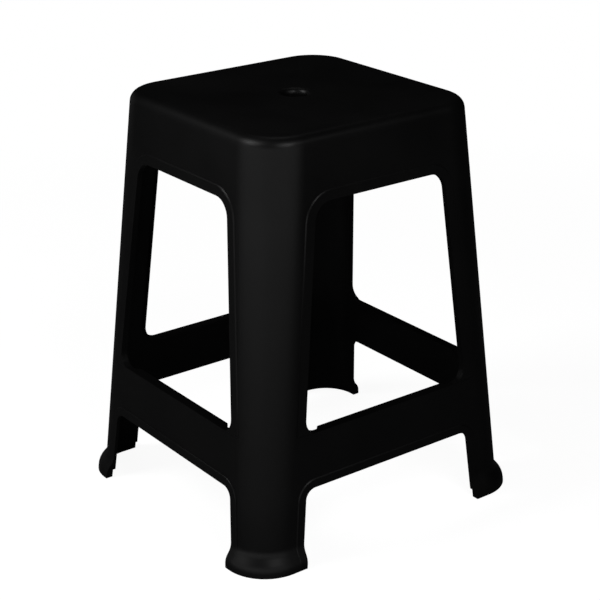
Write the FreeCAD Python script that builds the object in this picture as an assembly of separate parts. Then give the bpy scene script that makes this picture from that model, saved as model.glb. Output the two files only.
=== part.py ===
import FreeCAD, Part
import math
import os
from FreeCAD import Vector

# A one-shot plastic stacking stool, in millimetres.
# Origin: centre of the footprint on the floor. +Z is up, the front face looks along -Y.
# The moulding is divided into named regions that meet face to face.

# Overall form
height = 450.0              # floor to seat top
seat_width = 277.5          # across the aprons, measured up at the seat plane
floor_width_x = 354.0       # across the legs at the floor, along X, feet left out
floor_width_y = 332.0       # the same along Y
corner_radius_seat = 48.0   # plan radius of a leg's outer corner at the seat plane
corner_radius_floor = 40.0  # the same at the floor
wall = 2.8                  # moulded wall

# Seat
seat_edge_radius = 12.0     # rounding between seat top and aprons
seat_inner_chamfer = 6.4    # under the rounding, where ceiling meets walls
hole_radius = 14.0          # bore of the centre hole
hole_lip_radius = 6.0       # rounding from the seat top into the bore
collar_depth = 20.0         # seat top to the collar's lower end

# Ribs under the seat
seat_rib_depth = 12.0       # below the seat's underside
seat_rib_thickness = 2.2

# Windows between the legs
apron_depth = 68.0          # seat top to the apron's lower edge
window_top = height - apron_depth
window_top_corner = 18.0
window_bottom_corner = 17.0
stretcher_top = 142.5
stretcher_bottom = 83.0
gap_corner = 11.0           # corners of the gap below a stretcher

# How much of each face a leg covers, from the outer corner's sharp point
leg_cover_front_seat = 63.4     # front and back faces, at the seat plane
leg_cover_front_floor = 53.4
leg_cover_side_seat = 64.9      # left and right faces
leg_cover_side_floor = 40.4
leg_widening = 4.6              # extra cover of each leg edge below the stretchers

# Raised rim along the edges
rim_height = 1.0
window_rim_width = 11.0
gap_rim_width = 9.5

# Hem that turns inwards round each window, deeper towards the stretcher,
# where it just clears the faces of a stool nested below
stack_pitch = 130.0         # rise from one nested stool to the next
stack_clearance = 0.3
draft_x = (floor_width_x - seat_width) / 2 / height
draft_y = (floor_width_y - seat_width) / 2 / height
hem_top_depth = 5.0         # from the outer face, at the window's top
hem_bottom_depth = stack_pitch * min(draft_x, draft_y) - rim_height - stack_clearance
hem_thickness = 2.2

# Inward flange on each stretcher's top edge, where the hem widens
flange_depth = 11.6         # from the stretcher's outer face
flange_end_length = 8.0     # along which it widens

# Feet
foot_height = 26.0
foot_flare = 8.5            # how far the lip stands out from the leg
foot_lip_height = 4.0
foot_rebate_height = 9.0    # step inside the foot
foot_rebate_depth = 3.3
rim_fade = 0.15             # what is left of the rim's height at the lip
foot_curve_steps = 6        # sections along the flare

# Where neighbouring regions meet, outward of the straight runs
joint_clear = 3.0
stretcher_joint_clear = 1.0 # the flange begins there too
beyond = 40.0               # how far cutting bodies run past what they cut
far = 1000.0                # well outside the stool

x_axis = Vector(1, 0, 0)
y_axis = Vector(0, 1, 0)
z_axis = Vector(0, 0, 1)
tiny = 0.0001
seam_turn = 225             # keeps a cone's own seam out of the rounded corner
block_reach = 2             # a corner's cutting block, in radii of its cone

os.makedirs("parts", exist_ok=True)


def line_at(z, at_seat, at_floor):
    # A size that changes evenly with height
    return at_floor + (at_seat - at_floor) * z / height


def half_x(z):
    return line_at(z, seat_width, floor_width_x) / 2


def half_y(z):
    return line_at(z, seat_width, floor_width_y) / 2


def corner_radius(z):
    return line_at(z, corner_radius_seat, corner_radius_floor)


# The tapered body: four flat drafted sides, joined at each corner by a cone tangent to both

def polyhedron(low, high):
    # A solid between two polygons with the same number of corners
    faces = [Part.Face(Part.makePolygon(ring + ring[:1])) for ring in (low, high)]
    for i in range(len(low)):
        j = (i + 1) % len(low)
        faces.append(Part.Face(Part.makePolygon([low[i], low[j], high[j], high[i], low[i]])))
    shell = Part.makeShell(faces)
    shell.sewShape()
    solid = Part.Solid(shell)
    solid.fix(tiny, tiny, tiny)
    return solid


def sharp_corner(z, offset):
    return Vector(half_x(z) + offset, half_y(z) + offset, z)


def unit(vector):
    return vector * (1 / vector.Length)


class CornerCone:
    # The cone that rounds the corner at +X +Y of the body with this offset

    def __init__(self, offset):
        floor_radius = corner_radius_floor + offset
        growth = (corner_radius_seat - corner_radius_floor) / height
        top = sharp_corner(height, offset)
        self.apex = sharp_corner(-floor_radius / growth, offset)
        normal_x = unit(Vector(1, 0, draft_x))
        normal_y = unit(Vector(0, 1, draft_y))
        ridge = unit(top - self.apex)
        touch = unit(top - Vector(0, corner_radius_seat + offset, 0) - self.apex)
        spread = ridge.getAngle(touch)
        along_x = unit(ridge.cross(normal_x))
        along_y = unit(normal_y.cross(ridge))
        self.ridge = ridge
        self.touch_x = ridge * math.cos(spread) - along_x * math.sin(spread)
        self.touch_y = ridge * math.cos(spread) - along_y * math.sin(spread)
        turn = -self.touch_y.dot(normal_x) / (1 - normal_x.dot(normal_y))
        self.half_angle = math.atan(turn)
        self.axis = self.touch_x * math.cos(self.half_angle) - normal_x * math.sin(self.half_angle)

    def at(self, direction, z):
        return self.apex + direction * ((z - self.apex.z) / direction.z)

    def block(self, z_low, z_high):
        # What lies between the two planes through the cone's axis and its lines of contact
        rings = []
        for z in (z_low, z_high):
            centre = self.at(self.axis, z)
            ring = [centre]
            for direction in (self.touch_x, self.ridge, self.touch_y):
                ring.append(centre + (self.at(direction, z) - centre) * block_reach)
            rings.append(ring)
        return polyhedron(*rings)

    def solid(self, z_low, z_high):
        start = (z_low - beyond - self.apex.z) / self.axis.z
        end = (z_high + beyond - self.apex.z) / self.axis.z
        slope = math.tan(self.half_angle)
        cone = Part.makeCone(
            start * slope, end * slope, end - start, self.apex + self.axis * start, self.axis)
        cone.rotate(self.apex, self.axis, seam_turn)
        return cone


def tapered_body(z_low, z_high, offset):
    rings = []
    for z in (z_low, z_high):
        x = half_x(z) + offset
        y = half_y(z) + offset
        rings.append([Vector(-x, -y, z), Vector(x, -y, z), Vector(x, y, z), Vector(-x, y, z)])
    body = polyhedron(*rings)
    cone = CornerCone(offset)
    block = cone.block(z_low, z_high)
    corner = cone.solid(z_low, z_high).common(block)
    for mirrors in ((), (x_axis,), (y_axis,), (x_axis, y_axis)):
        cut_away = block
        rounded = corner
        for normal in mirrors:
            cut_away = cut_away.mirror(Vector(0, 0, 0), normal)
            rounded = rounded.mirror(Vector(0, 0, 0), normal)
        body = body.cut(cut_away).fuse(rounded)
    return body.removeSplitter()


def edges_at(body, z):
    level = []
    for edge in body.Edges:
        if abs(edge.BoundBox.ZMin - z) < tiny and abs(edge.BoundBox.ZMax - z) < tiny:
            level.append(edge)
    return level


# Openings are drawn on the front face and turned to the other sides

sides = ["front", "right", "back", "left"]


def on_x_face(side):
    return side in ("right", "left")


def face_half(side, z):
    # Half of the face's own width
    return half_y(z) if on_x_face(side) else half_x(z)


def face_distance(side, z):
    # From the centre to the face
    return half_x(z) if on_x_face(side) else half_y(z)


def opening_half(side, z, widening):
    if on_x_face(side):
        cover = line_at(z, leg_cover_side_seat, leg_cover_side_floor)
    else:
        cover = line_at(z, leg_cover_front_seat, leg_cover_front_floor)
    return face_half(side, z) - cover - widening


def turned(shape, side):
    shape = shape.copy()
    shape.rotate(Vector(0, 0, 0), z_axis, 90 * sides.index(side))
    return shape


def rounded_outline(points, radii):
    # Closed outline in the XZ plane, each corner with its own radius
    edges = []
    pieces = []
    count = len(points)
    for i in range(count):
        here = Vector(points[i][0], 0, points[i][1])
        back = Vector(points[i - 1][0], 0, points[i - 1][1]) - here
        ahead = Vector(points[(i + 1) % count][0], 0, points[(i + 1) % count][1]) - here
        back.normalize()
        ahead.normalize()
        if radii[i] == 0:
            pieces.append((here, here, None))
            continue
        half_angle = back.getAngle(ahead) / 2
        tangent = radii[i] / math.tan(half_angle)
        middle = back + ahead
        middle.normalize()
        centre = here + middle * (radii[i] / math.sin(half_angle))
        start = here + back * tangent
        end = here + ahead * tangent
        top = centre - middle * radii[i]
        pieces.append((start, end, Part.Arc(start, top, end).toShape()))
    for i, (start, end, arc) in enumerate(pieces):
        if arc:
            edges.append(arc)
        edges.append(Part.LineSegment(end, pieces[(i + 1) % count][0]).toShape())
    return Part.Wire(edges)


def through_wall(outline, side):
    # A prism that runs from inside the stool out past the wall
    depth = face_distance(side, 0) + foot_flare + beyond
    inner_end = face_distance(side, height) / 2
    prism = Part.Face(outline).extrude(Vector(0, inner_end - depth, 0))
    prism.translate(Vector(0, -inner_end, 0))
    return turned(prism, side)


def window(side, grow=0, drop=0, low=window_bottom_corner):
    # The opening between apron and stretcher, grown at top and sides and by a drop at its foot
    top = window_top + grow
    bottom = stretcher_top - drop
    wide_top = opening_half(side, top, -grow)
    wide_bottom = opening_half(side, bottom, -grow)
    points = [(-wide_bottom, bottom), (wide_bottom, bottom), (wide_top, top), (-wide_top, top)]
    high = window_top_corner + grow
    return through_wall(rounded_outline(points, [low, low, high, high]), side)


def gap(side, grow=0):
    # The opening below the stretcher
    top = stretcher_bottom + grow
    bottom = -beyond
    wide_top = opening_half(side, top, leg_widening - grow)
    wide_bottom = opening_half(side, bottom, leg_widening - grow)
    points = [(-wide_bottom, bottom), (wide_bottom, bottom), (wide_top, top), (-wide_top, top)]
    return through_wall(rounded_outline(points, [0, 0, gap_corner + grow, gap_corner + grow]), side)


def box_between(low, high):
    size = [high[i] - low[i] for i in range(3)]
    return Part.makeBox(size[0], size[1], size[2], Vector(*low))


# The moulding as one skin: wall, raised rims, flared feet and openings

def inside_space():
    top = height - wall
    body = tapered_body(-beyond, top, -wall)
    body = body.makeChamfer(seat_inner_chamfer, edges_at(body, top))
    rebate = tapered_body(-beyond, foot_rebate_height, foot_rebate_depth - wall)
    return body.fuse(rebate)


def foot_offset(drop):
    # How far the foot stands out at a drop below its top: two equal arcs, smooth at both ends
    tall = foot_height - foot_lip_height
    radius = (tall ** 2 + foot_flare ** 2) / (4 * foot_flare)
    if drop <= tall / 2:
        return radius - math.sqrt(radius ** 2 - drop ** 2)
    if drop < tall:
        return foot_flare - radius + math.sqrt(radius ** 2 - (tall - drop) ** 2)
    return foot_flare


def level_outline(z, offset):
    # Rounded outline of the stool at one height
    radius = corner_radius(z) + offset
    across = half_x(z) + offset - radius
    along = half_y(z) + offset - radius
    arcs = []
    corners = [(across, along), (-across, along), (-across, -along), (across, -along)]
    for turn, (x, y) in enumerate(corners):
        circle = Part.Circle(Vector(x, y, z), z_axis, radius)
        arcs.append(Part.ArcOfCircle(circle, math.pi / 2 * turn, math.pi / 2 * (turn + 1)))
    edges = []
    for i, arc in enumerate(arcs):
        edges.append(arc.toShape())
        edges.append(Part.LineSegment(arc.EndPoint, arcs[(i + 1) % 4].StartPoint).toShape())
    return Part.Wire(edges)


def foot_body(leg_body, rim):
    # Lofted from the legs' own outline at the top down to the lip
    tall = foot_height - foot_lip_height
    lip_rim = min(rim, rim_fade)
    wires = [Part.Wire(Part.sortEdges(edges_at(leg_body, foot_height))[0])]
    for i in range(1, foot_curve_steps + 1):
        share = i / foot_curve_steps
        offset = foot_offset(tall * share) + rim + (lip_rim - rim) * share
        wires.append(level_outline(foot_height - tall * share, offset))
    wires.append(level_outline(0, foot_flare + lip_rim))
    return Part.makeLoft(wires, True, True)


def hem_depth(z):
    share = (z - stretcher_top) / (window_top - stretcher_top)
    return hem_bottom_depth + (hem_top_depth - hem_bottom_depth) * share


def hem(side):
    # A solid block round the window as deep as the hem, before the window is cut
    outer = -face_distance(side, 0) - beyond
    low = stretcher_bottom
    backs = [(z, hem_depth(z) - face_distance(side, z)) for z in (low, height)]
    outline = Part.makePolygon([
        Vector(-far, outer, low), Vector(-far, backs[0][1], low),
        Vector(-far, backs[1][1], height), Vector(-far, outer, height),
        Vector(-far, outer, low)])
    slab = Part.Face(outline).extrude(x_axis * far * 2)
    grown = window(side, hem_thickness, hem_thickness, window_bottom_corner + hem_thickness)
    return turned(slab, side).common(grown)


def moulding():
    legs = tapered_body(foot_height, height, 0)
    raised = tapered_body(foot_height, height, rim_height)
    rims = [raised.cut(legs), foot_body(raised, rim_height)]
    shell = legs.makeFillet(seat_edge_radius, edges_at(legs, height)).fuse(foot_body(legs, 0))
    for side in sides:
        shell = shell.fuse(rims[0].common(window(side, window_rim_width, 0, 0)))
        for rim in rims:
            shell = shell.fuse(rim.common(gap(side, gap_rim_width)))
    room = inside_space()
    for side in sides:
        room = room.cut(hem(side))
    shell = shell.cut(room)
    for side in sides:
        shell = shell.cut(window(side)).cut(gap(side))
    return shell.removeSplitter()


# Named regions

def corner_block(sign_x, sign_y, from_x, from_y, z_low, z_high):
    # Everything beyond two upright planes, in one corner
    xs = sorted((sign_x * from_x, sign_x * far))
    ys = sorted((sign_y * from_y, sign_y * far))
    return box_between((xs[0], ys[0], z_low), (xs[1], ys[1], z_high))


def apron_joint(side):
    return opening_half(side, window_top, 0) - window_top_corner - joint_clear


def stretcher_joint(side):
    reach = opening_half(side, stretcher_top, 0) - window_bottom_corner
    return reach - stretcher_joint_clear


def face_block(side, half, z_low, z_high):
    near = face_distance(side, height) / 2
    far = face_distance(side, 0) + beyond
    return turned(box_between((-half, -far, z_low), (half, -near, z_high)), side)


def leg(shell, sign_x, sign_y):
    middle = (window_top + stretcher_top) / 2
    upper = corner_block(
        sign_x, sign_y, apron_joint("front"), apron_joint("left"), middle, height)
    lower = corner_block(
        sign_x, sign_y, stretcher_joint("front"), stretcher_joint("left"), 0, middle)
    return shell.common(upper.fuse(lower))


def apron(shell, side):
    return shell.common(face_block(side, apron_joint(side), window_top - beyond, height))


def stretcher(shell, side):
    block = face_block(
        side, stretcher_joint(side), stretcher_bottom - beyond, stretcher_top + beyond)
    return shell.common(block).fuse(flange(side)).removeSplitter()


def flange(side):
    # A shelf along the top edge that stiffens the stretcher and clears a nested stool's legs
    half = stretcher_joint(side)
    root = -face_distance(side, stretcher_top - wall)
    start = hem_bottom_depth - face_distance(side, stretcher_top)
    widening = flange_depth - hem_bottom_depth
    radius = (flange_end_length ** 2 + widening ** 2) / (4 * widening)
    sweep = math.asin(flange_end_length / 2 / radius)
    across = radius * math.sin(sweep / 2)
    rise = radius * (1 - math.cos(sweep / 2))
    tip = half - flange_end_length
    middle = (half + tip) / 2
    end = start + widening
    edges = [Part.makePolygon([
        Vector(-half, start, 0), Vector(-half, root, 0),
        Vector(half, root, 0), Vector(half, start, 0)])]
    for sign in (1, -1):
        # Two equal arcs, smooth at both ends
        points = [
            Vector(sign * half, start, 0), Vector(sign * (half - across), start + rise, 0),
            Vector(sign * middle, start + widening / 2, 0),
            Vector(sign * (tip + across), end - rise, 0), Vector(sign * tip, end, 0)]
        edges.append(Part.Arc(*points[:3]).toShape())
        edges.append(Part.Arc(*points[2:]).toShape())
    edges.append(Part.LineSegment(Vector(tip, end, 0), Vector(-tip, end, 0)).toShape())
    outline = Part.Wire(Part.sortEdges(Part.Compound(edges).Edges)[0])
    plate = Part.Face(outline).extrude(Vector(0, 0, wall))
    plate.translate(Vector(0, 0, stretcher_top - wall))
    return turned(plate, side).common(inside_space())


def seat_plate():
    # The flat of the seat, out to where its edge begins to round
    outline = Part.Face(level_outline(height, -seat_edge_radius))
    return outline.extrude(Vector(0, 0, -wall))


def turned_hole():
    # Turned profile: the seat's skin curls down into a straight bore
    outer = hole_radius + hole_lip_radius
    low = height - hole_lip_radius
    end = height - collar_depth
    slant = math.sqrt(0.5)
    lip = Part.Arc(
        Vector(outer, 0, height),
        Vector(outer - hole_lip_radius * slant, 0, low + hole_lip_radius * slant),
        Vector(hole_radius, 0, low))
    rest = Part.makePolygon([
        Vector(hole_radius, 0, low), Vector(hole_radius, 0, end),
        Vector(hole_radius + wall, 0, end), Vector(hole_radius + wall, 0, low),
        Vector(outer, 0, height - wall), Vector(outer, 0, height)])
    profile = Part.Wire([lip.toShape()] + rest.Edges)
    return Part.Face(profile).revolve(Vector(0, 0, 0), z_axis, 360)


def seat_panel(hole):
    opening = Part.makeCylinder(hole_radius + hole_lip_radius, height)
    return seat_plate().cut(opening).fuse(hole).removeSplitter()


def seat_rib(index, room, hole):
    # An upright rib under the seat, from the hole's tube to the wall
    top = height - wall
    rib = box_between(
        (0, -seat_rib_thickness / 2, top - seat_rib_depth),
        (floor_width_x, seat_rib_thickness / 2, top))
    rib.rotate(Vector(0, 0, 0), z_axis, rib_step * index - 90)
    core = Part.makeCylinder(hole_radius + wall / 2, height)
    return rib.common(room).cut(core).cut(hole)


def export(name, shape):
    if len(shape.Solids) == 1:
        shape = shape.Solids[0]
    assert shape.isValid(), name
    shape.exportStep("parts/%s.step" % name)
    print("%-26s solids %d  volume %.0f mm3" % (name, len(shape.Solids) or 1, shape.Volume))


shell = moulding().cut(seat_plate())
room = inside_space()
hole = turned_hole()
corners = {
    "front_left": (-1, -1),
    "front_right": (1, -1),
    "back_right": (1, 1),
    "back_left": (-1, 1),
}
rib_names = [
    "front", "front_right", "right", "back_right", "back", "back_left", "left", "front_left"]
rib_step = 360 / len(rib_names)

export("seat_panel", seat_panel(hole))
for index, name in enumerate(rib_names):
    export("seat_rib_" + name, seat_rib(index, room, hole))
for side in sides:
    export("apron_" + side, apron(shell, side))
    export("stretcher_" + side, stretcher(shell, side))
for name, (sign_x, sign_y) in corners.items():
    export("leg_" + name, leg(shell, sign_x, sign_y))
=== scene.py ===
import bpy
import bmesh
import math
from mathutils import Matrix, Vector


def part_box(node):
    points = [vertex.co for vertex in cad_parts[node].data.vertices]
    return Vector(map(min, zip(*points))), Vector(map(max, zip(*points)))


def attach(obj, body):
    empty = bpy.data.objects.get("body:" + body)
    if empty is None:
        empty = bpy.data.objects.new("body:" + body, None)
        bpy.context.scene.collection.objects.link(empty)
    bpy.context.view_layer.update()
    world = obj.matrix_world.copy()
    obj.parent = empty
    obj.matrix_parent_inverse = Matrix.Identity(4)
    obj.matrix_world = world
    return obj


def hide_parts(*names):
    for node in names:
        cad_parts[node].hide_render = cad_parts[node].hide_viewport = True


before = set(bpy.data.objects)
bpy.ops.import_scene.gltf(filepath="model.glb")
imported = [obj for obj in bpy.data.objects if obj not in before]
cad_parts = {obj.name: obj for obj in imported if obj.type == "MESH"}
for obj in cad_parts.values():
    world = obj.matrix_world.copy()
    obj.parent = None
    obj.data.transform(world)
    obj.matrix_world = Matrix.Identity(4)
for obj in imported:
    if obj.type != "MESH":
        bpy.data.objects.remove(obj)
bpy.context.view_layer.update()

print("frame loaded,", len(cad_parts), "nodes")

sideNames = ["front", "right", "back", "left"]
cornerNames = ["front_left", "front_right", "back_right", "back_left"]
ribNames = [
    "front", "front_right", "right", "back_right", "back", "back_left", "left", "front_left"]

underFloor = 0.01               # how far the cutting bodies reach below the floor
levelTolerance = 0.0001

# What a user would change about the moulding
shellValues = {
    "cornerAtSeat": 0.048,      # plan radius of the outer corners
    "cornerAtFloor": 0.040,
    "wall": 0.0028,
    "edgeRadius": 0.012,        # seat top into the sides
    "innerChamfer": 0.0064,     # between the inner walls and the ceiling
    "boreRadius": 0.014,
    "lipRadius": 0.006,         # round the top of the bore
    "collarDepth": 0.020,
    "cornerSegments": 15,
    "edgeSegments": 8,
}
footValues = {
    "height": 0.026,
    "flare": 0.0085,
    "lipHeight": 0.004,
    "rebateHeight": 0.009,
    "rebateDepth": 0.0033,
    "steps": 10,
}
rimValues = {
    "height": 0.001,
    "windowWidth": 0.0115,
    "gapWidth": 0.01,
    "slope": 0.0012,            # the outer edge slopes down over this width
    "fade": 0.00015,            # what is left of it at the foot's lip
}

# Main sizes, read from the frame
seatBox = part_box("seat_panel")
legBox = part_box("leg_front_left")
height = seatBox[1].z
seatHalf = seatBox[1].x + shellValues["edgeRadius"]
floorHalfX = -legBox[0].x - footValues["flare"] - rimValues["fade"]
floorHalfY = -legBox[0].y - footValues["flare"] - rimValues["fade"]


def atHeight(z, atSeat, atFloor):
    return atFloor + (atSeat - atFloor) * z / height


def halfX(z):
    return atHeight(z, seatHalf, floorHalfX)


def halfY(z):
    return atHeight(z, seatHalf, floorHalfY)


def cornerAt(z):
    return atHeight(z, shellValues["cornerAtSeat"], shellValues["cornerAtFloor"])


# Small helpers for working in edit mode

def startMesh(name):
    bpy.ops.object.select_all(action="DESELECT")
    bpy.ops.mesh.primitive_plane_add(size=1)
    made = bpy.context.object
    made.name = name
    bpy.ops.object.mode_set(mode="EDIT")
    bpy.ops.mesh.select_all(action="SELECT")
    bpy.ops.mesh.delete(type="VERT")
    return made


def selectWhere(made, wanted):
    # Selects the vertices that pass the test, then the edges and faces between them
    bpy.ops.mesh.select_mode(type="VERT")
    mesh = bmesh.from_edit_mesh(made.data)
    for vert in mesh.verts:
        vert.select = wanted(vert)
    mesh.select_flush(True)
    mesh.select_flush(False)
    bmesh.update_edit_mesh(made.data)


def markRing(made):
    # Numbers the vertices that were just added, so that they can be found again
    mesh = bmesh.from_edit_mesh(made.data)
    layer = mesh.verts.layers.int.get("ring") or mesh.verts.layers.int.new("ring")
    number = max((v[layer] for v in mesh.verts), default=0) + 1
    for vert in mesh.verts:
        if vert[layer] == 0:
            vert[layer] = number
    bmesh.update_edit_mesh(made.data)
    return number


def selectRings(made, *numbers):
    layer = bmesh.from_edit_mesh(made.data).verts.layers.int["ring"]
    selectWhere(made, lambda v: v[layer] in numbers)


def addSquareRing(made, z, offset):
    # One level outline of the stool: a rounded rectangle
    bpy.ops.mesh.select_all(action="DESELECT")
    bpy.ops.mesh.primitive_plane_add(size=2)
    bpy.ops.transform.resize(value=(halfX(z) + offset, halfY(z) + offset, 1))
    bpy.ops.transform.translate(value=(0, 0, z))
    bpy.ops.mesh.bevel(
        affect="VERTICES", offset=cornerAt(z) + offset,
        segments=shellValues["cornerSegments"], profile=0.5)
    bpy.ops.mesh.delete(type="ONLY_FACE")
    return markRing(made)


def addRoundRing(made, z, radius):
    count = 4 * (shellValues["cornerSegments"] + 1)
    bpy.ops.mesh.select_all(action="DESELECT")
    bpy.ops.mesh.primitive_circle_add(vertices=count, radius=radius, location=(0, 0, z))
    bpy.ops.transform.rotate(value=math.pi / count, orient_axis="Z", center_override=(0, 0, 0))
    return markRing(made)


def bridgeRings(made, rings):
    for low, high in zip(rings, rings[1:]):
        selectRings(made, low, high)
        bpy.ops.mesh.bridge_edge_loops()


def capRing(made, ring):
    selectRings(made, ring)
    bpy.ops.mesh.edge_face_add()


def closeMesh(made):
    bpy.ops.mesh.select_all(action="SELECT")
    bpy.ops.mesh.normals_make_consistent(inside=False)
    bpy.ops.object.mode_set(mode="OBJECT")
    return made


def combine(made, tool, operation):
    # A boolean with a tool that is then thrown away
    bpy.ops.object.select_all(action="DESELECT")
    bpy.context.view_layer.objects.active = made
    made.select_set(True)
    modifier = made.modifiers.new("combine", "BOOLEAN")
    modifier.operation = operation
    modifier.solver = "EXACT"
    modifier.object = tool
    bpy.ops.object.modifier_apply(modifier=modifier.name)
    bpy.data.objects.remove(tool)
    return made


# The outside and the inside of the moulding as closed bodies

def flareAt(drop):
    # The foot's S curve: two equal arcs, smooth at both ends
    tall = footValues["height"] - footValues["lipHeight"]
    flare = footValues["flare"]
    radius = (tall ** 2 + flare ** 2) / (4 * flare)
    if drop <= tall / 2:
        return radius - math.sqrt(radius ** 2 - drop ** 2)
    return flare - radius + math.sqrt(max(radius ** 2 - (tall - drop) ** 2, 0))


def outerBody(name, proud):
    # proud is how far the raised rims stand out; it fades down the foot
    made = startMesh(name)
    atLip = min(proud, rimValues["fade"])
    rings = [addSquareRing(made, 0, footValues["flare"] + atLip)]
    tall = footValues["height"] - footValues["lipHeight"]
    for step in range(footValues["steps"], -1, -1):
        share = step / footValues["steps"]
        extra = proud + (atLip - proud) * share
        z = footValues["height"] - tall * share
        rings.append(addSquareRing(made, z, flareAt(tall * share) + extra))
    rings.append(addSquareRing(made, height, proud))
    return closedRings(made, rings)


def roundSeatEdge(made):
    radius = shellValues["edgeRadius"]
    bpy.ops.object.mode_set(mode="EDIT")
    selectWhere(made, lambda v: v.co.z > height - levelTolerance)
    draft = math.atan((floorHalfX + floorHalfY - 2 * seatHalf) / 2 / height)
    reach = radius * math.tan((math.pi / 2 - draft) / 2)
    bpy.ops.mesh.region_to_loop()
    bpy.ops.mesh.bevel(
        affect="EDGES", offset=reach, segments=shellValues["edgeSegments"], profile=0.5)
    bpy.ops.object.mode_set(mode="OBJECT")


def closedRings(made, rings):
    # Joins the rings one after another and closes both ends
    bridgeRings(made, rings)
    capRing(made, rings[0])
    capRing(made, rings[-1])
    return closeMesh(made)


def innerBody():
    # The space inside, up to the ceiling under the seat
    wall = shellValues["wall"]
    chamfer = shellValues["innerChamfer"]
    ceiling = height - wall
    made = startMesh("insideSpace")
    return closedRings(made, [
        addSquareRing(made, -underFloor, -wall),
        addSquareRing(made, ceiling - chamfer, -wall),
        addSquareRing(made, ceiling, -wall - chamfer),
    ])


def rebateBody():
    # The step inside each foot, where the lip turns outwards
    offset = footValues["rebateDepth"] - shellValues["wall"]
    made = startMesh("footRebate")
    return closedRings(made, [
        addSquareRing(made, -underFloor, offset),
        addSquareRing(made, footValues["rebateHeight"], offset),
    ])


def collarBody():
    # The tube that hangs round the centre hole, wider where it meets the seat
    bore = shellValues["boreRadius"]
    lip = shellValues["lipRadius"]
    made = startMesh("collar")
    return closedRings(made, [
        addRoundRing(made, height - shellValues["collarDepth"], bore + shellValues["wall"]),
        addRoundRing(made, height - lip, bore + shellValues["wall"]),
        addRoundRing(made, height - shellValues["wall"] / 2, bore + lip),
    ])


def boreCutter():
    bore = shellValues["boreRadius"]
    lip = shellValues["lipRadius"]
    made = startMesh("boreCutter")
    rings = [addRoundRing(made, height - 2 * shellValues["collarDepth"], bore)]
    for step in range(shellValues["edgeSegments"] + 1):
        turn = math.pi / 2 * step / shellValues["edgeSegments"]
        rings.append(addRoundRing(
            made, height - lip + lip * math.sin(turn), bore + lip - lip * math.cos(turn)))
    rings.append(addRoundRing(made, height + lip, bore + lip))
    return closedRings(made, rings)


# Openings: each prism runs through two opposite sides

openingValues = {
    "windowTop": 0.382,
    "windowTopCorner": 0.018,
    "windowBottomCorner": 0.017,
    "stretcherTop": 0.1425,
    "stretcherBottom": 0.083,
    "gapCorner": 0.011,
    "coverFrontSeat": 0.0634,   # how much of a face each leg covers
    "coverFrontFloor": 0.0534,
    "coverSideSeat": 0.0649,
    "coverSideFloor": 0.0404,
    "legWidening": 0.0046,
    "cornerSegments": 8,
}


def openingHalf(across, z, widening):
    if across == "x":
        cover = atHeight(z, openingValues["coverFrontSeat"], openingValues["coverFrontFloor"])
        return halfX(z) - cover - widening
    cover = atHeight(z, openingValues["coverSideSeat"], openingValues["coverSideFloor"])
    return halfY(z) - cover - widening


def openingPrism(name, across, bottom, top, lowCorner, highCorner, widening):
    made = startMesh(name)
    reach = 2 * floorHalfX
    bpy.ops.mesh.primitive_plane_add(size=2)
    bpy.ops.transform.rotate(value=math.pi / 2, orient_axis="X", center_override=(0, 0, 0))
    bpy.ops.transform.resize(value=(1, 1, (top - bottom) / 2))
    bpy.ops.transform.translate(value=(0, 0, (top + bottom) / 2))
    middle = (top + bottom) / 2
    for upper, z in ((True, top), (False, bottom)):
        selectWhere(made, lambda v: (v.co.z > middle) == upper)
        bpy.ops.transform.resize(value=(openingHalf(across, z, widening), 1, 1))
    for upper, radius in ((True, highCorner), (False, lowCorner)):
        if radius > 0:
            selectWhere(made, lambda v: (v.co.z > middle) == upper)
            bpy.ops.mesh.bevel(
                affect="VERTICES", offset=radius,
                segments=openingValues["cornerSegments"], profile=0.5)
    bpy.ops.mesh.select_all(action="SELECT")
    bpy.ops.transform.translate(value=(0, -reach, 0))
    bpy.ops.mesh.extrude_region_move(TRANSFORM_OT_translate={"value": (0, 2 * reach, 0)})
    bpy.ops.mesh.select_all(action="SELECT")
    if across == "y":
        bpy.ops.transform.rotate(value=math.pi / 2, orient_axis="Z", center_override=(0, 0, 0))
    return closeMesh(made)


def windowPrism(across, grow=0, drop=0, lowCorner=openingValues["windowBottomCorner"]):
    return openingPrism(
        "window", across, openingValues["stretcherTop"] - drop,
        openingValues["windowTop"] + grow, lowCorner,
        openingValues["windowTopCorner"] + grow, -grow)


def gapPrism(across, grow=0):
    return openingPrism(
        "gap", across, -2 * underFloor, openingValues["stretcherBottom"] + grow,
        0, openingValues["gapCorner"] + grow, openingValues["legWidening"] - grow)


hemValues = {
    "topDepth": 0.005,          # inwards from the outer face
    "bottomDepth": 0.00657,
    "thickness": 0.0022,
    "coreBottom": 0.05,         # height at which the core between the hems starts
}


def hemDepth(z):
    share = (z - openingValues["stretcherTop"]) / (
        openingValues["windowTop"] - openingValues["stretcherTop"])
    return hemValues["bottomDepth"] + (hemValues["topDepth"] - hemValues["bottomDepth"]) * share


def hemCore(across):
    # What lies further in than the hems of two opposite windows
    made = startMesh("hemCore")
    bpy.ops.mesh.primitive_cube_add(size=2)
    for upper, z in ((True, height), (False, hemValues["coreBottom"])):
        far = halfY(z) if across == "x" else halfX(z)
        selectWhere(made, lambda v: (v.co.z > 0) == upper)
        bpy.ops.transform.resize(value=(floorHalfX * 2, far - hemDepth(z), 1))
        bpy.ops.transform.translate(value=(0, 0, z + (-1 if upper else 1)))
        bpy.ops.mesh.hide()
    bpy.ops.mesh.reveal()
    bpy.ops.mesh.select_all(action="SELECT")
    if across == "y":
        bpy.ops.transform.rotate(value=math.pi / 2, orient_axis="Z", center_override=(0, 0, 0))
    return closeMesh(made)


def hemBlock(across):
    thick = hemValues["thickness"]
    block = windowPrism(across, thick, thick, openingValues["windowBottomCorner"] + thick)
    return combine(block, hemCore(across), "DIFFERENCE")


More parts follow.
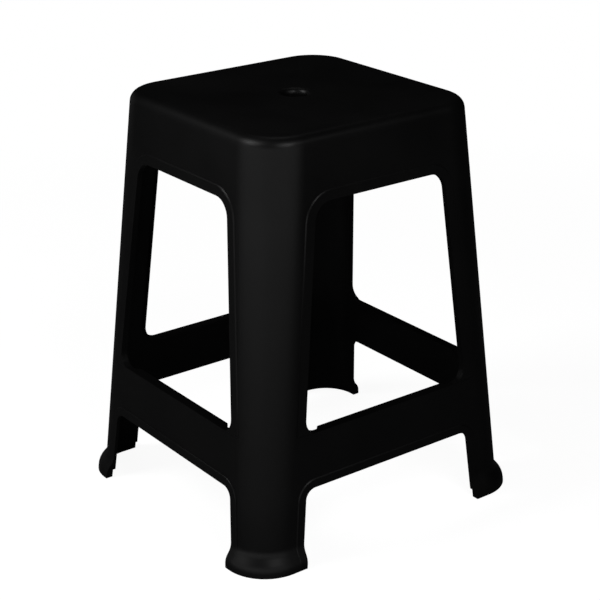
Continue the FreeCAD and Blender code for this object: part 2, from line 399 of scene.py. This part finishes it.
flangeValues = {
    "depth": 0.0116,
    "endGap": 0.018,            # from the leg's edge
    "endLength": 0.008,         # over which each end sweeps out of the hem
    "steps": 8,
    "mergeDistance": 0.00001,
}


def flangePlate(side):
    # The shelf along a stretcher's top edge; its ends sweep out of the hem in an S
    z = openingValues["stretcherTop"]
    wall = shellValues["wall"]
    turn = sideNames.index(side)
    across, distance = ("x", halfY(z)) if turn % 2 == 0 else ("y", halfX(z))
    half = openingHalf(across, z, 0) - flangeValues["endGap"]
    length = flangeValues["endLength"]
    widening = flangeValues["depth"] - hemValues["bottomDepth"]
    radius = (length ** 2 + widening ** 2) / (4 * widening)
    made = startMesh("flange")
    bpy.ops.mesh.primitive_plane_add(size=2)
    near = distance - wall / 2
    far = distance - flangeValues["depth"]
    bpy.ops.transform.resize(value=(half, (near - far) / 2, 1))
    bpy.ops.transform.translate(value=(0, -(near + far) / 2, z))
    selectWhere(made, lambda v: v.co.y > -(near + far) / 2)
    bpy.ops.mesh.subdivide(number_cuts=4 * flangeValues["steps"] + 1)
    mesh = bmesh.from_edit_mesh(made.data)
    inner = sorted((v for v in mesh.verts if v.co.y > -(near + far) / 2), key=lambda v: v.co.x)
    steps = 2 * flangeValues["steps"]
    for i, vert in enumerate(inner):
        # From either end, the first half of these points follows the S
        place = min(i, len(inner) - 1 - i)
        run = min(place / steps, 1) * length
        if run <= length / 2:
            rise = radius - math.sqrt(radius ** 2 - run ** 2)
        else:
            rise = widening - radius + math.sqrt(radius ** 2 - (length - run) ** 2)
        vert.co.x = math.copysign(half - run, vert.co.x)
        vert.co.y = hemValues["bottomDepth"] + rise - distance
    bmesh.update_edit_mesh(made.data)
    bpy.ops.mesh.select_all(action="SELECT")
    bpy.ops.mesh.remove_doubles(threshold=flangeValues["mergeDistance"])
    bpy.ops.mesh.extrude_region_move(TRANSFORM_OT_translate={"value": (0, 0, -wall)})
    bpy.ops.mesh.select_all(action="SELECT")
    bpy.ops.transform.rotate(value=turn * math.pi / 2, orient_axis="Z", center_override=(0, 0, 0))
    return closeMesh(made)


def buildShell():
    shell = outerBody("stoolShell", 0)
    roundSeatEdge(shell)
    for across in ("x", "y"):
        for prism in (
                windowPrism(across, rimValues["windowWidth"], 0, 0),
                gapPrism(across, rimValues["gapWidth"])):
            raised = outerBody("raised", rimValues["height"])
            combine(raised, prism, "INTERSECT")
            softenEdges(raised, rimValues["slope"], 1)
            combine(shell, raised, "UNION")
    print("rims raised")
    room = innerBody()
    for across in ("x", "y"):
        combine(room, hemBlock(across), "DIFFERENCE")
    combine(shell, room, "DIFFERENCE")
    combine(shell, rebateBody(), "DIFFERENCE")
    combine(shell, collarBody(), "UNION")
    for across in ("x", "y"):
        combine(shell, windowPrism(across), "DIFFERENCE")
        combine(shell, gapPrism(across), "DIFFERENCE")
    combine(shell, boreCutter(), "DIFFERENCE")
    for side in sideNames:
        combine(shell, flangePlate(side), "UNION")
    print("shell cut,", len(shell.data.polygons), "faces")
    return shell


edgeValues = {
    "softening": 0.0004,        # width of the round on every sharp edge
    "mergeDistance": 0.00002,
    "flatAngle": 0.3,           # degrees
    "sharpAngle": 40,
}


def softenEdges(made, width, segments=2):
    # Moulded edges are never knife sharp
    bpy.ops.object.select_all(action="DESELECT")
    bpy.context.view_layer.objects.active = made
    made.select_set(True)
    bpy.ops.object.mode_set(mode="EDIT")
    bpy.ops.mesh.select_all(action="SELECT")
    bpy.ops.mesh.remove_doubles(threshold=edgeValues["mergeDistance"])
    bpy.ops.mesh.dissolve_limited(angle_limit=math.radians(edgeValues["flatAngle"]))
    bpy.ops.object.mode_set(mode="OBJECT")
    modifier = made.modifiers.new("soften", "BEVEL")
    modifier.width = width
    modifier.segments = segments
    modifier.limit_method = "ANGLE"
    modifier.angle_limit = math.radians(edgeValues["sharpAngle"])
    modifier.harden_normals = segments > 1
    bpy.ops.object.shade_smooth()
    bpy.ops.object.modifier_apply(modifier=modifier.name)


# Materials

plasticValues = {
    "color": (0.0021, 0.0021, 0.0022, 1),
    "paleColor": (0.0031, 0.0031, 0.0032, 1),
    "ior": 1.49,
    "specularLevel": 0.25,
    "roughLow": 0.36,
    "roughHigh": 0.48,
    "slowLow": 0.3,             # values of the slow change that give these two
    "slowHigh": 0.7,
    "grainScale": 900,
    "grainDepth": 0.00002,
    "grainStrength": 0.35,
    "scuffAmount": 0.35,
    "scuffRoughness": 0.12,     # what a full scuff adds
}
grainValues = {
    "detail": 2,
    "slowScale": 9,
    "slowDetail": 3,
}
scuffValues = {
    "directions": ((0.6, (60, 900, 300)), (2.2, (700, 50, 260))),   # turn, squeeze
    "detail": 2,
    "threshold": 0.66,
    "full": 0.8,
}


def newGroup(name, inputs, outputs):
    group = bpy.data.node_groups.new(name, "ShaderNodeTree")
    kind = "NodeSocketFloat"
    for socketName, default in inputs:
        socket = group.interface.new_socket(socketName, in_out="INPUT", socket_type=kind)
        socket.default_value = default
    for socketName in outputs:
        group.interface.new_socket(socketName, in_out="OUTPUT", socket_type=kind)
    start = group.nodes.new("NodeGroupInput")
    end = group.nodes.new("NodeGroupOutput")
    return group, start, end


def mouldedGrainGroup():
    # The fine etched grain of the mould, and slow changes over the whole surface
    group, start, end = newGroup(
        "mouldedGrain", [("Grain Scale", plasticValues["grainScale"])], ["Grain", "Slow"])
    links = group.links
    coords = group.nodes.new("ShaderNodeTexCoord")
    fine = group.nodes.new("ShaderNodeTexNoise")
    fine.inputs["Detail"].default_value = grainValues["detail"]
    slow = group.nodes.new("ShaderNodeTexNoise")
    slow.inputs["Scale"].default_value = grainValues["slowScale"]
    slow.inputs["Detail"].default_value = grainValues["slowDetail"]
    links.new(coords.outputs["Object"], fine.inputs["Vector"])
    links.new(coords.outputs["Object"], slow.inputs["Vector"])
    links.new(start.outputs["Grain Scale"], fine.inputs["Scale"])
    links.new(fine.outputs["Fac"], end.inputs["Grain"])
    links.new(slow.outputs["Fac"], end.inputs["Slow"])
    return group


def scuffGroup():
    # Faint hairline scuffs, thin bands of stretched noise in two directions
    group, start, end = newGroup(
        "hairlineScuffs", [("Amount", plasticValues["scuffAmount"])], ["Scuffs"])
    links = group.links
    coords = group.nodes.new("ShaderNodeTexCoord")
    total = None
    for turn, squeeze in scuffValues["directions"]:
        place = group.nodes.new("ShaderNodeMapping")
        place.inputs["Rotation"].default_value = (0, 0, turn)
        place.inputs["Scale"].default_value = squeeze
        noise = group.nodes.new("ShaderNodeTexNoise")
        noise.inputs["Scale"].default_value = 1
        noise.inputs["Detail"].default_value = scuffValues["detail"]
        ramp = group.nodes.new("ShaderNodeMapRange")
        ramp.inputs["From Min"].default_value = scuffValues["threshold"]
        ramp.inputs["From Max"].default_value = scuffValues["full"]
        links.new(coords.outputs["Object"], place.inputs["Vector"])
        links.new(place.outputs["Vector"], noise.inputs["Vector"])
        links.new(noise.outputs["Fac"], ramp.inputs["Value"])
        if total is None:
            total = ramp.outputs["Result"]
        else:
            both = group.nodes.new("ShaderNodeMath")
            both.operation = "MAXIMUM"
            links.new(total, both.inputs[0])
            links.new(ramp.outputs["Result"], both.inputs[1])
            total = both.outputs[0]
    scaled = group.nodes.new("ShaderNodeMath")
    scaled.operation = "MULTIPLY"
    links.new(total, scaled.inputs[0])
    links.new(start.outputs["Amount"], scaled.inputs[1])
    links.new(scaled.outputs[0], end.inputs["Scuffs"])
    return group


def placeGroup(material, group, values):
    node = material.node_tree.nodes.new("ShaderNodeGroup")
    node.node_tree = group
    for socketName, value in values.items():
        node.inputs[socketName].default_value = value
    return node


def blackPlastic(grain, scuffs):
    material = bpy.data.materials.new("blackPolypropylene")
    material.use_nodes = True
    nodes = material.node_tree.nodes
    links = material.node_tree.links
    shader = nodes["Principled BSDF"]
    shader.inputs["IOR"].default_value = plasticValues["ior"]
    shader.inputs["Specular IOR Level"].default_value = plasticValues["specularLevel"]
    surface = placeGroup(material, grain, {"Grain Scale": plasticValues["grainScale"]})
    marks = placeGroup(material, scuffs, {"Amount": plasticValues["scuffAmount"]})
    tint = nodes.new("ShaderNodeMix")
    tint.data_type = "RGBA"
    tint.inputs["A"].default_value = plasticValues["color"]
    tint.inputs["B"].default_value = plasticValues["paleColor"]
    links.new(surface.outputs["Slow"], tint.inputs["Factor"])
    links.new(tint.outputs["Result"], shader.inputs["Base Color"])
    rough = nodes.new("ShaderNodeMapRange")
    rough.inputs["From Min"].default_value = plasticValues["slowLow"]
    rough.inputs["From Max"].default_value = plasticValues["slowHigh"]
    rough.inputs["To Min"].default_value = plasticValues["roughLow"]
    rough.inputs["To Max"].default_value = plasticValues["roughHigh"]
    links.new(surface.outputs["Slow"], rough.inputs["Value"])
    worn = nodes.new("ShaderNodeMath")
    worn.operation = "MULTIPLY_ADD"
    worn.inputs[1].default_value = plasticValues["scuffRoughness"]
    links.new(marks.outputs["Scuffs"], worn.inputs[0])
    links.new(rough.outputs["Result"], worn.inputs[2])
    links.new(worn.outputs[0], shader.inputs["Roughness"])
    bump = nodes.new("ShaderNodeBump")
    bump.inputs["Strength"].default_value = plasticValues["grainStrength"]
    bump.inputs["Distance"].default_value = plasticValues["grainDepth"]
    links.new(surface.outputs["Grain"], bump.inputs["Height"])
    links.new(bump.outputs["Normal"], shader.inputs["Normal"])
    return material


def dress(made, material):
    made.data.materials.clear()
    made.data.materials.append(material)


# Studio: camera, lamps, floor

cameraValues = {
    "location": (-0.97336, -1.31347, 0.88137),
    "azimuth": -36.6475,
    "elevation": 22.2093,
    "roll": -0.4754,
    "lens": 95.78,
    "sensor": 36,
}
lampValues = {
    # name: place, size, power in watts
    "leftLow": ((-2.13, 0.57, 0.5), (1.4, 1.0), 4),
    "leftFrontLow": ((-2.07, -0.75, 0.5), (1.4, 1.0), 4.3),
    "frontLow": ((-1.26, -1.8, 0.5), (1.4, 1.0), 3.6),
    "rightLow": ((0, -2.2, 0.5), (1.4, 1.0), 3.6),
    "backLow": ((-0.4, 2.2, 0.5), (1.4, 1.0), 0.4),
    "leftHigh": ((-1.46, 0.53, 1.8), (0.7, 0.7), 14),
    "rightHigh": ((-0.27, -1.53, 1.8), (0.7, 0.7), 8.5),
    "farRightHigh": ((0.66, -1.41, 1.8), (0.7, 0.7), 1),
    "seatGlow": ((0.62, 0.82, 2.2), (0.7, 0.7), 0.8),
}
floorValues = {
    "size": 60,
    "glow": 0.93,               # near the stool, where the lamps' light and the shadow add to it
    "paleColor": (0.25, 0.25, 0.25, 1),
    "nearRadius": 0.7,
    "farRadius": 1.4,           # plain white from here on
    "reflectedColor": (0.1, 0.1, 0.1, 1),
}
worldValues = {
    "dimColor": (0.003, 0.003, 0.003, 1),
}


def addCamera():
    turn = Matrix.Rotation(math.radians(cameraValues["azimuth"]), 4, "Z")
    tilt = Matrix.Rotation(math.radians(90 - cameraValues["elevation"]), 4, "X")
    roll = Matrix.Rotation(math.radians(cameraValues["roll"]), 4, "Z")
    bpy.ops.object.camera_add(
        location=cameraValues["location"], rotation=(turn @ tilt @ roll).to_euler())
    camera = bpy.context.object
    camera.data.lens = cameraValues["lens"]
    camera.data.sensor_width = cameraValues["sensor"]
    bpy.context.scene.camera = camera


def addLamps():
    target = Vector((0, 0, height / 2))
    for name, (place, size, power) in lampValues.items():
        aim = (Vector(place) - target).to_track_quat("Z", "Y").to_euler()
        bpy.ops.object.light_add(type="AREA", location=place, rotation=aim)
        lamp = bpy.context.object
        lamp.name = name
        lamp.data.shape = "RECTANGLE"
        lamp.data.size, lamp.data.size_y = size
        lamp.data.energy = power


def addFloor():
    # White to the camera, with the stool's faint shadow; dim to what the plastic mirrors
    bpy.ops.object.select_all(action="DESELECT")
    bpy.ops.mesh.primitive_plane_add(size=floorValues["size"])
    floor = bpy.context.object
    floor.name = "floor"
    material = bpy.data.materials.new("paleFloor")
    material.use_nodes = True
    nodes = material.node_tree.nodes
    links = material.node_tree.links
    nodes.remove(nodes["Principled BSDF"])
    output = nodes["Material Output"]
    path = nodes.new("ShaderNodeLightPath")
    pale = nodes.new("ShaderNodeBsdfDiffuse")
    pale.inputs["Color"].default_value = floorValues["paleColor"]
    glow = nodes.new("ShaderNodeEmission")
    glow.inputs["Strength"].default_value = floorValues["glow"]
    near = nodes.new("ShaderNodeAddShader")
    white = nodes.new("ShaderNodeEmission")
    coords = nodes.new("ShaderNodeTexCoord")
    distance = nodes.new("ShaderNodeVectorMath")
    distance.operation = "LENGTH"
    fade = nodes.new("ShaderNodeMapRange")
    fade.inputs["From Min"].default_value = floorValues["nearRadius"]
    fade.inputs["From Max"].default_value = floorValues["farRadius"]
    seen = nodes.new("ShaderNodeMixShader")
    links.new(coords.outputs["Object"], distance.inputs[0])
    links.new(distance.outputs["Value"], fade.inputs["Value"])
    links.new(fade.outputs["Result"], seen.inputs["Fac"])
    links.new(pale.outputs[0], near.inputs[0])
    links.new(glow.outputs[0], near.inputs[1])
    links.new(near.outputs[0], seen.inputs[1])
    links.new(white.outputs[0], seen.inputs[2])
    reflected = nodes.new("ShaderNodeBsdfDiffuse")
    reflected.inputs["Color"].default_value = floorValues["reflectedColor"]
    both = nodes.new("ShaderNodeMixShader")
    links.new(path.outputs["Is Camera Ray"], both.inputs["Fac"])
    links.new(reflected.outputs[0], both.inputs[1])
    links.new(seen.outputs[0], both.inputs[2])
    links.new(both.outputs[0], output.inputs["Surface"])
    floor.data.materials.append(material)


def addWorld():
    world = bpy.data.worlds.new("studio")
    bpy.context.scene.world = world
    world.use_nodes = True
    nodes = world.node_tree.nodes
    links = world.node_tree.links
    dim = nodes["Background"]
    dim.inputs["Color"].default_value = worldValues["dimColor"]
    white = nodes.new("ShaderNodeBackground")
    white.inputs["Color"].default_value = (1, 1, 1, 1)
    path = nodes.new("ShaderNodeLightPath")
    mix = nodes.new("ShaderNodeMixShader")
    links.new(path.outputs["Is Camera Ray"], mix.inputs["Fac"])
    links.new(dim.outputs[0], mix.inputs[1])
    links.new(white.outputs[0], mix.inputs[2])
    links.new(mix.outputs[0], nodes["World Output"].inputs["Surface"])


bpy.context.scene.view_settings.view_transform = "Standard"
addCamera()
addLamps()
addFloor()
addWorld()
print("studio set")

shell = buildShell()
softenEdges(shell, edgeValues["softening"])
print("edges softened")
plastic = blackPlastic(mouldedGrainGroup(), scuffGroup())
dress(shell, plastic)
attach(shell, "root")
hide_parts("seat_panel")
for side in sideNames:
    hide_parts("apron_" + side, "stretcher_" + side)
for corner in cornerNames:
    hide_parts("leg_" + corner)
for name in ribNames:
    dress(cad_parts["seat_rib_" + name], plastic)
print("plastic applied")
